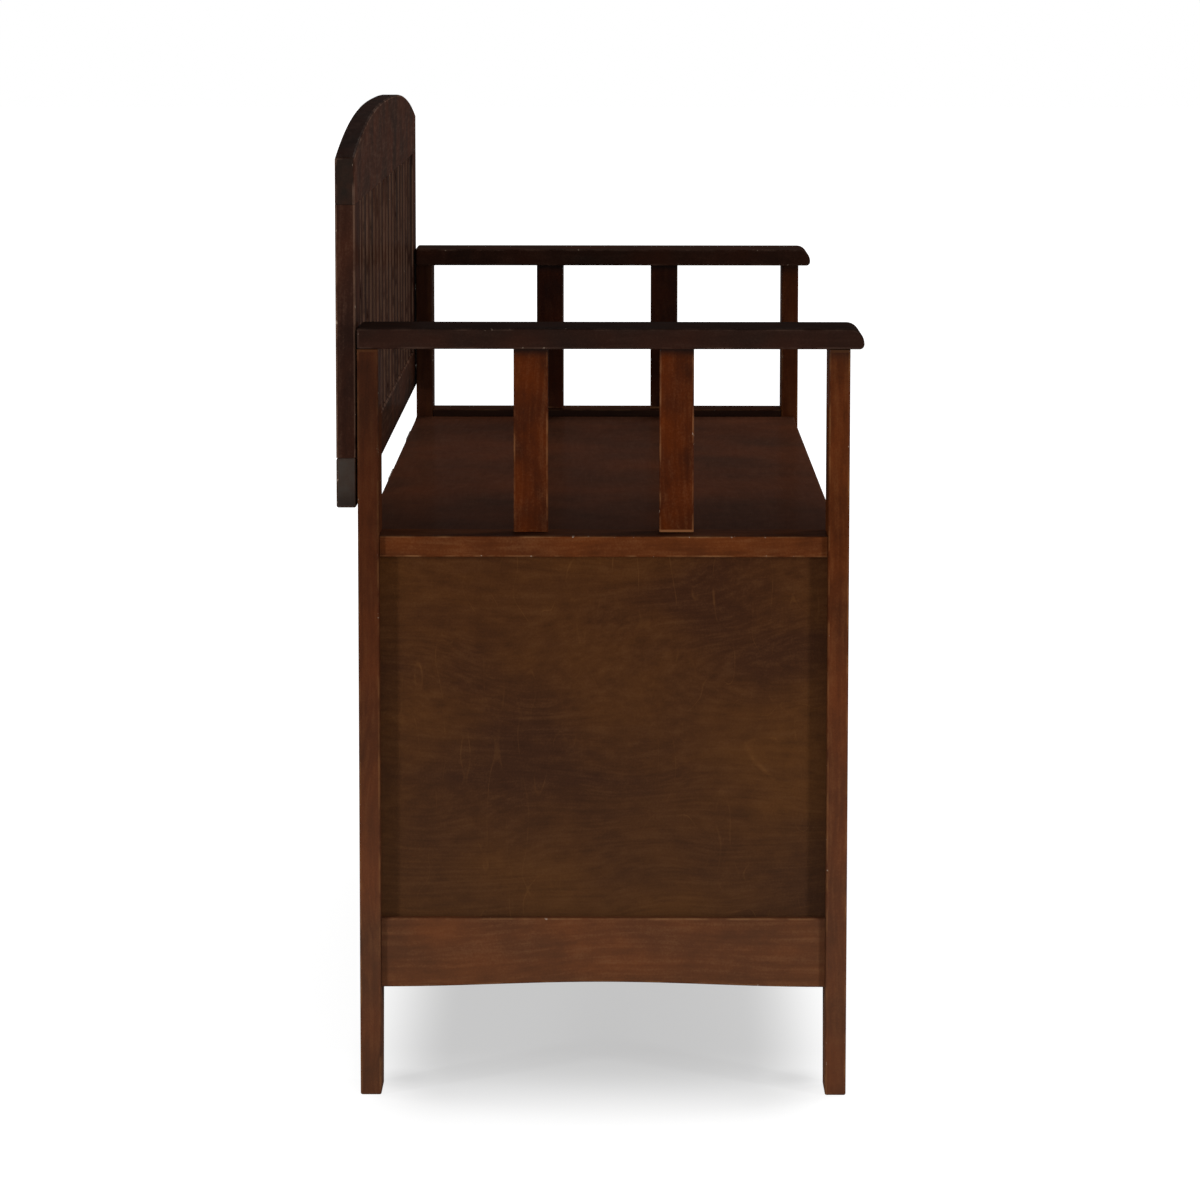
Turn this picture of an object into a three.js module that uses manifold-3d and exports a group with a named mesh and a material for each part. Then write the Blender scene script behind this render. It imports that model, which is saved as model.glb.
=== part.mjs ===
// Deacons bench with slatted arms, an arched slatted backrest and a storage box under a hinged seat lid.
// Millimetres. +X runs along the seat, -Y is the front, +Z is up. The origin lies on the floor under the
// middle of the bench. Left is the -X end.

import * as THREE from 'three';
import { mergeVertices } from 'three/addons/utils/BufferGeometryUtils.js';
import Module from 'manifold-3d';

const wasm = await Module();
wasm.setup();

// Clearances
const FIT_GAP = 0.3;            // between two pieces that touch, on each side of a tenon or a tongue
const CUT_OVERRUN = 5;          // how far a cut or a tenon runs on past the face that it starts from

// End frames
const BENCH_LENGTH = 1270;      // over the outer faces of the legs
const LEG_SPREAD = 405.5;       // from the front face of the front legs to the rear face of the rear legs
const LEG_WIDTH = 57;
const LEG_THICKNESS = 17.5;
const FOOT_WIDTH = 45;
const ARM_TOP = 641.5;
const ARM_THICKNESS = 17;
const ARM_WIDTH = 84;
const NOSE_OVERHANG = 11.4;     // of the arm past the front leg
const NOSE_RUN = 11.5;          // length of the curve that rolls the arm's top over at its front end
const NOSE_LIP = 2.5;           // height of the upright part under that curve
const NOSE_CURVE_STEPS = 6;
const ARM_SLAT_WIDTH = 28.5;
const ARM_SLAT_THICKNESS = 16;
const ARM_SLAT_INSET = 31;      // from the legs' outer face to the slats' outer face
const ARM_SLAT_SPACING = 121;   // centre to centre
const SEAT_RAIL_TOP = 469.9;
const SEAT_RAIL_THICKNESS = 17.8;
const RAIL_RECESS = 5;          // of the end rails behind the legs' outer faces
const LOWER_RAIL_THICKNESS = 17.5;
const LOWER_RAIL_BOTTOM = 90.8;
const LOWER_RAIL_TOP = 149.3;
const END_ARCH_RISE = 4.2;
const PANEL_THICKNESS = 6;
const END_PANEL_RECESS = 8;     // behind the end rails' outer faces

// Case between the end frames
const TOP_RAIL_HEIGHT = 40;
const CASE_RAIL_THICKNESS = 17.5;
const FRONT_RAIL_RECESS = 6;    // behind the front faces of the legs
const LONG_ARCH_RISE = 20;
const CENTRE_STILE_WIDTH = 57;
const FRONT_PANEL_RECESS = 3.5; // behind the front faces of the front rails
const REAR_PANEL_RECESS = 6.6;  // inside the rear faces of the rear rails
const FLOOR_BOARD_BOTTOM = 122;
const FLOOR_BOARD_THICKNESS = 9;
const ARCH_STEPS = 24;

// Seat
const SEAT_TOP = 462.6;
const LID_THICKNESS = 17.5;
const LID_SETBACK = 4.1;        // of its front edge behind the front faces of the legs
const LID_ARM_CLEARANCE = 3.5;  // between the end of the lid and the arm that it swings past
const LID_END_GAP = 2;          // between the lid and the fixed strip at each end

// Hinges
const HINGE_INSET = 147.5;      // from the ends of the lid to the middle of the outer hinges
const HINGE_LENGTH = 90;
const LEAF_THICKNESS = 1.5;
const LID_LEAF_HEIGHT = 14;
const FRAME_LEAF_HEIGHT = 24;
const KNUCKLE_RADIUS = 3.2;
const PIN_RADIUS = 1.5;
const ROUND_SIDES = 16;
const centreKnuckleShare = 1 / 3;

// Backrest
const BACK_THICKNESS = 16.5;
const BACK_GAP = 1.6;           // between the rear legs and the backrest
const BACK_INSET = 12;          // of its ends inside the legs' outer faces
const BACK_BOTTOM = 492.2;
const BOTTOM_RAIL_HEIGHT = 41;
const BACK_SLAT_SHOWN = 209.1;  // between the bottom rail and the crest rail
const CREST_END_HEIGHT = 38.7;
const CREST_RISE = 33;          // of the arch over its ends
const CREST_POWER = 2.6;        // how flat the arch is in the middle; 2 is a parabola
const STILE_WIDTH = 80;
const BACK_SLAT_COUNT = 17;
const BACK_SLAT_WIDTH = 32;
const BACK_SLAT_THICKNESS = 12;
const BACK_SLAT_RECESS = 1;     // behind the front faces of the stiles
const CREST_STEPS = 36;

// Joints between the boards
const STUB_DEPTH = 10;          // tenons into the thickness of a leg
const RAIL_TENON_DEPTH = 20;    // tenons into the edge of a leg
const SHORT_TENON_DEPTH = 12;   // tenons of the centre stile and the back's stiles
const SLAT_HOUSING = 8;         // how far a slat's end runs into its rail
const TENON_THICKNESS = 8;
const TENON_SHOULDER = 10;      // from the edge of a board to its tenon
const TONGUE_DEPTH = 5.5;       // how far a panel runs into its grooves
const ARM_TENON_WIDTH = 30;

// Bolts of the backrest
const BOLT_RADIUS = 3;
const BOLT_HEAD_RADIUS = 6.5;
const BOLT_HEAD_HEIGHT = 4;
const BOLT_HEAD_SINK = 0.5;     // of the head below the rear face of the backrest
const BOLT_BITE = 13;           // of the bolt into the leg
const BOLT_DROP = 25;           // from the underside of the arm down to the upper bolt
const HEX_SOCKET_RADIUS = 2.3;
const HEX_SOCKET_DEPTH = 2.4;
const HEX_SIDES = 6;

// Finishes
const stainedWood = { color: 0x4a2313, roughness: 0.42, metalness: 0 };
const darkWood = { color: 0x26150f, roughness: 0.35, metalness: 0 };
const panelWood = { color: 0x452512, roughness: 0.5, metalness: 0 };
const steel = { color: 0x9a958c, roughness: 0.35, metalness: 1 };

// Places that follow from the sizes above
const halfLength = BENCH_LENGTH / 2;
const depth = BACK_THICKNESS + BACK_GAP + LEG_SPREAD + NOSE_OVERHANG;
const backRear = depth / 2;
const backFront = backRear - BACK_THICKNESS;
const legRear = backFront - BACK_GAP;
const legFront = legRear - LEG_SPREAD;
const armBottom = ARM_TOP - ARM_THICKNESS;
const seatRailBottom = SEAT_RAIL_TOP - SEAT_RAIL_THICKNESS;
const legInner = halfLength - LEG_WIDTH;
const railOuter = halfLength - RAIL_RECESS;
const lidBottom = SEAT_TOP - LID_THICKNESS;
const topRailTop = lidBottom - FIT_GAP;
const topRailBottom = topRailTop - TOP_RAIL_HEIGHT;
const lidFront = legFront + LID_SETBACK;
const armInner = halfLength - ARM_WIDTH;
const lidHalfLength = armInner - LID_ARM_CLEARANCE;
const backHalf = halfLength - BACK_INSET;
const bottomRailTop = BACK_BOTTOM + BOTTOM_RAIL_HEIGHT;
const crestBottom = bottomRailTop + BACK_SLAT_SHOWN;

// Ranges in Y and X that several pieces share
const frontLegY = [legFront, legFront + LEG_THICKNESS];
const rearLegY = [legRear - LEG_THICKNESS, legRear];
const frontRailY = [legFront + FRONT_RAIL_RECESS, legFront + FRONT_RAIL_RECESS + CASE_RAIL_THICKNESS];
const rearRailY = [legRear - CASE_RAIL_THICKNESS, legRear];
const frontPanelFront = frontRailY[0] + FRONT_PANEL_RECESS;
const frontPanelY = [frontPanelFront, frontPanelFront + PANEL_THICKNESS];
const rearPanelY = [rearRailY[1] - REAR_PANEL_RECESS - PANEL_THICKNESS, rearRailY[1] - REAR_PANEL_RECESS];
const endPanelX = [railOuter - END_PANEL_RECESS - PANEL_THICKNESS, railOuter - END_PANEL_RECESS];
const lowerRailX = [railOuter - LOWER_RAIL_THICKNESS, railOuter];
const betweenLegsY = [frontLegY[1] + FIT_GAP, rearLegY[0] - FIT_GAP];
const betweenLegsX = [-legInner + FIT_GAP, legInner - FIT_GAP];
const floorBoardZ = [FLOOR_BOARD_BOTTOM, FLOOR_BOARD_BOTTOM + FLOOR_BOARD_THICKNESS];

// Solids from geometries, joined and cut
function solidOf(geometry) {
  const bare = geometry.index ? geometry.toNonIndexed() : geometry.clone();
  bare.deleteAttribute('normal');
  bare.deleteAttribute('uv');
  const merged = mergeVertices(bare);
  return new wasm.Manifold(new wasm.Mesh({
    numProp: 3,
    vertProperties: new Float32Array(merged.attributes.position.array),
    triVerts: new Uint32Array(merged.index.array),
  }));
}

function block(x, y, z) {
  const low = [x, y, z].map((range) => Math.min(...range));
  const size = [x, y, z].map((range) => Math.abs(range[1] - range[0]));
  const geometry = new THREE.BoxGeometry(...size);
  geometry.translate(...low.map((value, i) => value + size[i] / 2));
  return solidOf(geometry);
}

// An outline drawn in Y and Z, extruded along X
function prismX(shape, x) {
  const [low, high] = [Math.min(...x), Math.max(...x)];
  const geometry = new THREE.ExtrudeGeometry(shape, { depth: high - low, bevelEnabled: false, steps: 1 });
  const axes = [new THREE.Vector3(0, 1, 0), new THREE.Vector3(0, 0, 1), new THREE.Vector3(1, 0, 0)];
  geometry.applyMatrix4(new THREE.Matrix4().makeBasis(...axes).setPosition(low, 0, 0));
  return solidOf(geometry);
}

// An outline drawn in X and Z, extruded along Y
function prismY(shape, y) {
  const [low, high] = [Math.min(...y), Math.max(...y)];
  const geometry = new THREE.ExtrudeGeometry(shape, { depth: high - low, bevelEnabled: false, steps: 1 });
  const axes = [new THREE.Vector3(1, 0, 0), new THREE.Vector3(0, 0, 1), new THREE.Vector3(0, -1, 0)];
  geometry.applyMatrix4(new THREE.Matrix4().makeBasis(...axes).setPosition(0, high, 0));
  return solidOf(geometry);
}

function rodX(radius, x, y, z) {
  const length = Math.abs(x[1] - x[0]);
  const geometry = new THREE.CylinderGeometry(radius, radius, length, ROUND_SIDES);
  geometry.rotateZ(Math.PI / 2);
  geometry.translate((x[0] + x[1]) / 2, y, z);
  return solidOf(geometry);
}

function rodY(radius, y, x, z, sides = ROUND_SIDES) {
  const geometry = new THREE.CylinderGeometry(radius, radius, Math.abs(y[1] - y[0]), sides);
  geometry.translate(x, (y[0] + y[1]) / 2, z);
  return solidOf(geometry);
}

const grown = (range, by = FIT_GAP) => [Math.min(...range) - by, Math.max(...range) + by];
const inset = (range, by) => grown(range, -by);
const middle = (range) => (range[0] + range[1]) / 2;
const about = (centre, width) => [centre - width / 2, centre + width / 2];

// The hollow that takes a tenon, a tongue or a whole board, with clearance all round
const socket = (box) => block(...box.map((range) => grown(range)));
const joined = (...solids) => solids.reduce((whole, one) => whole.add(one));
const cut = (solid, ...tools) => tools.reduce((rest, one) => rest.subtract(one), solid);

const bench = new THREE.Group();

function piece(name, solid, finish) {
  const { numProp, vertProperties, triVerts } = solid.getMesh();
  const corners = new Float32Array((vertProperties.length / numProp) * 3);
  for (let i = 0; i < corners.length / 3; i += 1) {
    for (let k = 0; k < 3; k += 1) corners[3 * i + k] = vertProperties[numProp * i + k];
  }
  const geometry = new THREE.BufferGeometry();
  geometry.setAttribute('position', new THREE.BufferAttribute(corners, 3));
  geometry.setIndex(new THREE.BufferAttribute(new Uint32Array(triVerts), 1));
  geometry.computeBoundingBox();
  const centre = geometry.boundingBox.getCenter(new THREE.Vector3());
  geometry.translate(-centre.x, -centre.y, -centre.z);
  geometry.computeVertexNormals();
  const mesh = new THREE.Mesh(geometry, new THREE.MeshStandardMaterial(finish));
  mesh.name = name;
  mesh.position.copy(centre);
  bench.add(mesh);
}

// Places of the boards that meet in the legs, written for the +X end and turned to the other end by side
const ends = [{ side: -1, end: 'left' }, { side: 1, end: 'right' }];
const onSide = (side, range) => range.map((value) => side * value);

// Tenons of the seat rail and the lower rail, which enter the front and the rear leg's inner faces
const seatRailX = [legInner, railOuter];
const seatTenonX = [legInner + TENON_SHOULDER, endPanelX[0] - FIT_GAP * 2];
const seatTenonZ = about(SEAT_RAIL_TOP - SEAT_RAIL_THICKNESS / 2, TENON_THICKNESS);
const stubY = [frontLegY[1] - STUB_DEPTH, rearLegY[0] + STUB_DEPTH];
const lowerTenonX = about(middle(lowerRailX), TENON_THICKNESS);
const lowerTenonZ = [LOWER_RAIL_BOTTOM + TENON_SHOULDER, LOWER_RAIL_TOP - TENON_SHOULDER];
const endPanelY = grown([frontLegY[1], rearLegY[0]], TONGUE_DEPTH);
const endPanelZ = grown([LOWER_RAIL_TOP, seatRailBottom], TONGUE_DEPTH);

// Tenons of the long rails, which enter the inner edges of the legs
const frontTenonY = about(middle(frontLegY), TENON_THICKNESS);
const rearTenonY = about(middle(rearLegY), TENON_THICKNESS);
const longTenonX = [-legInner - RAIL_TENON_DEPTH, legInner + RAIL_TENON_DEPTH];
const topTenonZ = [topRailBottom + TENON_SHOULDER, topRailTop - TENON_SHOULDER];
const casePanelZ = grown([LOWER_RAIL_TOP, topRailBottom], TONGUE_DEPTH);
const casePanelX = grown([-legInner, legInner], TONGUE_DEPTH);

// Tenons on the tops of the legs, which enter the arms
const legTenonX = about(halfLength - LEG_WIDTH / 2, ARM_TENON_WIDTH);
const legTenonZ = [armBottom - CUT_OVERRUN, armBottom + SLAT_HOUSING];

// Bolt places
const boltX = (legInner + backHalf) / 2;
const boltHeights = [(BACK_BOTTOM + bottomRailTop) / 2, armBottom - BOLT_DROP];
const boltHeadY = [backRear - BOLT_HEAD_SINK - BOLT_HEAD_HEIGHT, backRear - BOLT_HEAD_SINK];
const boltShankY = [legRear - BOLT_BITE, boltHeadY[0]];

function legOutline(side) {
  const outer = side * halfLength;
  const inner = side * legInner;
  const foot = side * (halfLength - FOOT_WIDTH);
  const shape = new THREE.Shape();
  shape.moveTo(outer, 0);
  shape.lineTo(outer, armBottom - FIT_GAP);
  shape.lineTo(inner, armBottom - FIT_GAP);
  shape.lineTo(inner, LOWER_RAIL_BOTTOM);
  shape.lineTo(foot, 0);
  shape.closePath();
  return shape;
}

// Legs: flat boards with their wide faces to the front and the rear, mortised for the rails,
// grooved for the panels and tenoned into the arm
function leg(side, y, longTenonY, casePanelY, boltHoles) {
  const blank = prismY(legOutline(side), y);
  const tenon = block(onSide(side, legTenonX), about(middle(y), TENON_THICKNESS), legTenonZ);
  const sockets = [
    socket([onSide(side, seatTenonX), stubY, seatTenonZ]),
    socket([onSide(side, lowerTenonX), stubY, lowerTenonZ]),
    socket([onSide(side, endPanelX), endPanelY, endPanelZ]),
    socket([longTenonX, longTenonY, topTenonZ]),
    socket([longTenonX, longTenonY, lowerTenonZ]),
    socket([casePanelX, casePanelY, casePanelZ]),
  ];
  const holes = boltHoles
    ? boltHeights.map((z) => rodY(BOLT_RADIUS + FIT_GAP, grown(boltShankY), side * boltX, z))
    : [];
  return cut(joined(blank, tenon), ...sockets, ...holes);
}

for (const { side, end } of ends) {
  piece(`front_${end}_leg`, leg(side, frontLegY, frontTenonY, frontPanelY, false), stainedWood);
  piece(`rear_${end}_leg`, leg(side, rearLegY, rearTenonY, rearPanelY, true), stainedWood);
}

// Arms: flat boards on the legs, flush with them outside and behind, with the front end rolled over
function armOutline() {
  const nose = legFront - NOSE_OVERHANG;
  const lipTop = armBottom + NOSE_LIP;
  const rollHeight = ARM_TOP - lipTop;
  const shape = new THREE.Shape();
  shape.moveTo(legRear, armBottom);
  shape.lineTo(legRear, ARM_TOP);
  for (let i = 0; i <= NOSE_CURVE_STEPS; i += 1) {
    const angle = (Math.PI / 2) * (i / NOSE_CURVE_STEPS);
    shape.lineTo(nose + NOSE_RUN * (1 - Math.sin(angle)), lipTop + rollHeight * Math.cos(angle));
  }
  shape.lineTo(nose + NOSE_LIP, armBottom);
  shape.closePath();
  return shape;
}

const slatOuter = halfLength - ARM_SLAT_INSET;
const armSlatX = [slatOuter - ARM_SLAT_THICKNESS, slatOuter];
const armSlatZ = [SEAT_RAIL_TOP - SLAT_HOUSING, armBottom + SLAT_HOUSING];
const armMiddleY = middle([legFront, legRear]);
const armSlatsY = [
  { place: 'front', y: about(armMiddleY - ARM_SLAT_SPACING / 2, ARM_SLAT_WIDTH) },
  { place: 'rear', y: about(armMiddleY + ARM_SLAT_SPACING / 2, ARM_SLAT_WIDTH) },
];

for (const { side, end } of ends) {
  const slatBoxes = armSlatsY.map(({ y }) => [onSide(side, armSlatX), y, armSlatZ]);
  const legTenons = [frontLegY, rearLegY].map((y) => [
    onSide(side, legTenonX), about(middle(y), TENON_THICKNESS), legTenonZ,
  ]);
  const armBlank = prismX(armOutline(), onSide(side, [armInner, halfLength]));
  piece(`${end}_arm`, cut(armBlank, ...slatBoxes.map(socket), ...legTenons.map(socket)), darkWood);

  armSlatsY.forEach(({ place }, i) => {
    piece(`${end}_arm_${place}_slat`, block(...slatBoxes[i]), stainedWood);
  });

  // Seat rail: a flat board between the legs that carries the slats and closes the end of the seat
  const seatRail = joined(
    block(onSide(side, seatRailX), betweenLegsY, [seatRailBottom, SEAT_RAIL_TOP]),
    block(onSide(side, seatTenonX), stubY, seatTenonZ),
  );
  const endPanel = [onSide(side, endPanelX), endPanelY, endPanelZ];
  piece(`${end}_seat_rail`, cut(seatRail, ...slatBoxes.map(socket), socket(endPanel)), stainedWood);
}

// Lower rails, with a shallow arch that runs out flat at both ends
function archHeight(share, rise) {
  return LOWER_RAIL_BOTTOM + (rise * (1 + Math.cos(Math.PI * share))) / 2;
}

function archedOutline(range, rise) {
  const half = (range[1] - range[0]) / 2;
  const shape = new THREE.Shape();
  shape.moveTo(range[0], LOWER_RAIL_TOP);
  for (let i = 0; i <= ARCH_STEPS; i += 1) {
    const share = -1 + (2 * i) / ARCH_STEPS;
    shape.lineTo(middle(range) + half * share, archHeight(share, rise));
  }
  shape.lineTo(range[1], LOWER_RAIL_TOP);
  shape.closePath();
  return shape;
}

const floorBoard = [
  grown(onSide(1, [-lowerRailX[0], lowerRailX[0]]), TONGUE_DEPTH),
  [frontRailY[1] - TONGUE_DEPTH, rearRailY[0] + TONGUE_DEPTH],
  floorBoardZ,
];

for (const { side, end } of ends) {
  const lowerRail = joined(
    prismX(archedOutline(betweenLegsY, END_ARCH_RISE), onSide(side, lowerRailX)),
    block(onSide(side, lowerTenonX), stubY, lowerTenonZ),
  );
  const endPanel = [onSide(side, endPanelX), endPanelY, endPanelZ];
  piece(`${end}_lower_rail`, cut(lowerRail, socket(endPanel), socket(floorBoard)), stainedWood);
  piece(`${end}_panel`, block(...endPanel), panelWood);
}

// Front of the case: two rails, a centre stile and two panels in grooves
const stileX = about(0, CENTRE_STILE_WIDTH);
const stileTenon = [
  inset(stileX, TENON_SHOULDER),
  about(middle(frontRailY), TENON_THICKNESS),
  grown([LOWER_RAIL_TOP, topRailBottom], SHORT_TENON_DEPTH),
];
const frontPanels = ends.map(({ side, end }) => ({
  end,
  box: [onSide(side, [stileX[1] - TONGUE_DEPTH, legInner + TONGUE_DEPTH]), frontPanelY, casePanelZ],
}));
const rearPanel = [casePanelX, rearPanelY, casePanelZ];

const frontTopRail = joined(
  block(betweenLegsX, frontRailY, [topRailBottom, topRailTop]),
  block(longTenonX, frontTenonY, topTenonZ),
);
const frontLowerRail = joined(
  prismY(archedOutline(betweenLegsX, LONG_ARCH_RISE), frontRailY),
  block(longTenonX, frontTenonY, lowerTenonZ),
);
const panelSockets = frontPanels.map(({ box }) => socket(box));
const frontSockets = [...panelSockets, socket(stileTenon)];
piece('front_top_rail', cut(frontTopRail, ...frontSockets), stainedWood);
piece('front_lower_rail', cut(frontLowerRail, ...frontSockets, socket(floorBoard)), stainedWood);
const stileBody = block(stileX, frontRailY, [LOWER_RAIL_TOP + FIT_GAP, topRailBottom - FIT_GAP]);
piece('front_centre_stile', cut(joined(stileBody, block(...stileTenon)), ...panelSockets), stainedWood);
for (const { end, box } of frontPanels) piece(`front_${end}_panel`, block(...box), panelWood);

// Rear of the case: two rails and one panel
const rearTopRail = joined(
  block(betweenLegsX, rearRailY, [topRailBottom, topRailTop]),
  block(longTenonX, rearTenonY, topTenonZ),
);
const rearLowerRail = joined(
  prismY(archedOutline(betweenLegsX, LONG_ARCH_RISE), rearRailY),
  block(longTenonX, rearTenonY, lowerTenonZ),
);
piece('rear_top_rail', cut(rearTopRail, socket(rearPanel)), stainedWood);
piece('rear_lower_rail', cut(rearLowerRail, socket(rearPanel), socket(floorBoard)), stainedWood);
piece('rear_panel', block(...rearPanel), panelWood);

// Floor of the box, in grooves in all four lower rails and notched round the legs
const legBoxes = ends.flatMap(({ side }) => [frontLegY, rearLegY].map((y) => [
  onSide(side, [legInner, halfLength]), y, [0, armBottom],
]));
piece('floor_board', cut(block(...floorBoard), ...legBoxes.map(socket)), panelWood);

// Seat: a lid between two fixed end strips, which let it swing up between the arms
const seatZ = [lidBottom, SEAT_TOP];
piece('lid', block(about(0, 2 * lidHalfLength), [lidFront, legRear], seatZ), stainedWood);
for (const { side, end } of ends) {
  const stripX = onSide(side, [lidHalfLength + LID_END_GAP, legInner - FIT_GAP]);
  piece(`${end}_seat_strip`, block(stripX, [lidFront, legRear], seatZ), stainedWood);
}

// Butt hinges on the rear edge of the lid and the rear face of the rear top rail. The frame leaf has the
// outer two knuckles and the pin, the lid leaf has the middle knuckle.
const leafY = [legRear + FIT_GAP, legRear + FIT_GAP + LEAF_THICKNESS];
const pinY = legRear + FIT_GAP + KNUCKLE_RADIUS;
const pinZ = (lidBottom + topRailTop) / 2;
const knuckleRoom = KNUCKLE_RADIUS + FIT_GAP;

const hingeReach = lidHalfLength - HINGE_INSET;
[-hingeReach, 0, hingeReach].forEach((x, i) => {
  const name = ['left', 'middle', 'right'][i];
  const whole = about(x, HINGE_LENGTH);
  const centreKnuckle = about(x, HINGE_LENGTH * centreKnuckleShare);
  const outerKnuckles = [
    [whole[0], centreKnuckle[0] - FIT_GAP],
    [centreKnuckle[1] + FIT_GAP, whole[1]],
  ];
  const bore = rodX(PIN_RADIUS + FIT_GAP, grown(whole, CUT_OVERRUN), pinY, pinZ);
  const frameLeaf = joined(
    block(whole, leafY, [pinZ - FRAME_LEAF_HEIGHT, pinZ - knuckleRoom]),
    ...outerKnuckles.map((range) => block(range, leafY, [pinZ - FRAME_LEAF_HEIGHT, pinZ])),
    ...outerKnuckles.map((range) => rodX(KNUCKLE_RADIUS, range, pinY, pinZ)),
    rodX(PIN_RADIUS, inset(whole, FIT_GAP), pinY, pinZ),
  );
  const lidLeaf = cut(joined(
    block(whole, leafY, [pinZ + knuckleRoom, pinZ + LID_LEAF_HEIGHT]),
    block(centreKnuckle, leafY, [pinZ, pinZ + LID_LEAF_HEIGHT]),
    rodX(KNUCKLE_RADIUS, centreKnuckle, pinY, pinZ),
  ), bore);
  piece(`${name}_hinge_frame_leaf`, frameLeaf, steel);
  piece(`${name}_hinge_lid_leaf`, lidLeaf, steel);
});

// Backrest: a panel of its own, bolted behind the rear legs
const backY = [backFront, backRear];
const slatFront = backFront + BACK_SLAT_RECESS;
const backSlatY = [slatFront, slatFront + BACK_SLAT_THICKNESS];
const backSlatZ = [bottomRailTop - SLAT_HOUSING, crestBottom + SLAT_HOUSING];
const openWidth = 2 * (backHalf - STILE_WIDTH);
const slatGap = (openWidth - BACK_SLAT_COUNT * BACK_SLAT_WIDTH) / (BACK_SLAT_COUNT + 1);
const slatPitch = slatGap + BACK_SLAT_WIDTH;
const slatBoxes = Array.from({ length: BACK_SLAT_COUNT }, (_, i) => [
  about((i - (BACK_SLAT_COUNT - 1) / 2) * slatPitch, BACK_SLAT_WIDTH), backSlatY, backSlatZ,
]);
const stileBoxes = ends.map(({ side, end }) => {
  const x = onSide(side, [backHalf - STILE_WIDTH, backHalf]);
  return {
    side,
    end,
    x,
    tenon: [
      inset(x, TENON_SHOULDER),
      about(middle(backY), TENON_THICKNESS),
      grown([bottomRailTop, crestBottom], SHORT_TENON_DEPTH),
    ],
  };
});

// A hole through the backrest for one bolt, with a wider hole behind that hides the head
function boltHole(side, z) {
  return joined(
    rodY(BOLT_RADIUS + FIT_GAP, grown(backY, CUT_OVERRUN), side * boltX, z),
    rodY(BOLT_HEAD_RADIUS + FIT_GAP, [boltHeadY[0] - FIT_GAP, backRear + CUT_OVERRUN], side * boltX, z),
  );
}

function crestOutline() {
  const shape = new THREE.Shape();
  shape.moveTo(backHalf, crestBottom);
  for (let i = 0; i <= CREST_STEPS; i += 1) {
    const share = 1 - (2 * i) / CREST_STEPS;
    const rise = CREST_RISE * (1 - Math.abs(share) ** CREST_POWER);
    shape.lineTo(backHalf * share, crestBottom + CREST_END_HEIGHT + rise);
  }
  shape.lineTo(-backHalf, crestBottom);
  shape.closePath();
  return shape;
}

const backSockets = [...slatBoxes.map(socket), ...stileBoxes.map(({ tenon }) => socket(tenon))];
piece('crest_rail', cut(prismY(crestOutline(), backY), ...backSockets), darkWood);
piece('back_bottom_rail', cut(
  block([-backHalf, backHalf], backY, [BACK_BOTTOM, bottomRailTop]),
  ...backSockets,
  ...ends.map(({ side }) => boltHole(side, boltHeights[0])),
), darkWood);
for (const { side, end, x, tenon } of stileBoxes) {
  const body = block(x, backY, [bottomRailTop + FIT_GAP, crestBottom - FIT_GAP]);
  piece(`back_${end}_stile`, cut(joined(body, block(...tenon)), boltHole(side, boltHeights[1])), stainedWood);
}
slatBoxes.forEach((box, i) => piece(`back_slat_${i + 1}`, block(...box), stainedWood));

// Bolts, with their heads sunk in the rear of the backrest and a hex socket in each head
for (const { side, end } of ends) {
  boltHeights.forEach((z, i) => {
    const x = side * boltX;
    const bolt = joined(
      rodY(BOLT_RADIUS, [boltShankY[0], boltShankY[1] + BOLT_HEAD_HEIGHT / 2], x, z),
      rodY(BOLT_HEAD_RADIUS, boltHeadY, x, z),
    );
    const hexY = [boltHeadY[1] - HEX_SOCKET_DEPTH, boltHeadY[1] + CUT_OVERRUN];
    const hex = rodY(HEX_SOCKET_RADIUS, hexY, x, z, HEX_SIDES);
    piece(`back_bolt_${end}_${['lower', 'upper'][i]}`, cut(bolt, hex), steel);
  });
}

export default bench;
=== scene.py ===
import math

import bpy
from mathutils import Matrix, Vector


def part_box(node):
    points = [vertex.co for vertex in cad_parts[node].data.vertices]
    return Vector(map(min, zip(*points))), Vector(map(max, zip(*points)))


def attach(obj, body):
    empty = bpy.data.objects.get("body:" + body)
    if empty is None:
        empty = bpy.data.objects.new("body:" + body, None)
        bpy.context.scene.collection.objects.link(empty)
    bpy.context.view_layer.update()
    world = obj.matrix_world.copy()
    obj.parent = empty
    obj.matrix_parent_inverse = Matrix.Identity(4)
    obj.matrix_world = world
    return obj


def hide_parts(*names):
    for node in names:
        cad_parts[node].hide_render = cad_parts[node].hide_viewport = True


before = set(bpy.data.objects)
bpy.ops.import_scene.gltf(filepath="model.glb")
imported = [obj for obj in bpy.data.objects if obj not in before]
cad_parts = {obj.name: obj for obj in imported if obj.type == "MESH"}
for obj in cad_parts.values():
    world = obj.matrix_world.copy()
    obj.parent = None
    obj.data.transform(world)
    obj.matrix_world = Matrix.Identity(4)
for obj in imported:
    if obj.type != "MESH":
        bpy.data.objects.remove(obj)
bpy.ops.object.select_all(action="DESELECT")
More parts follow.
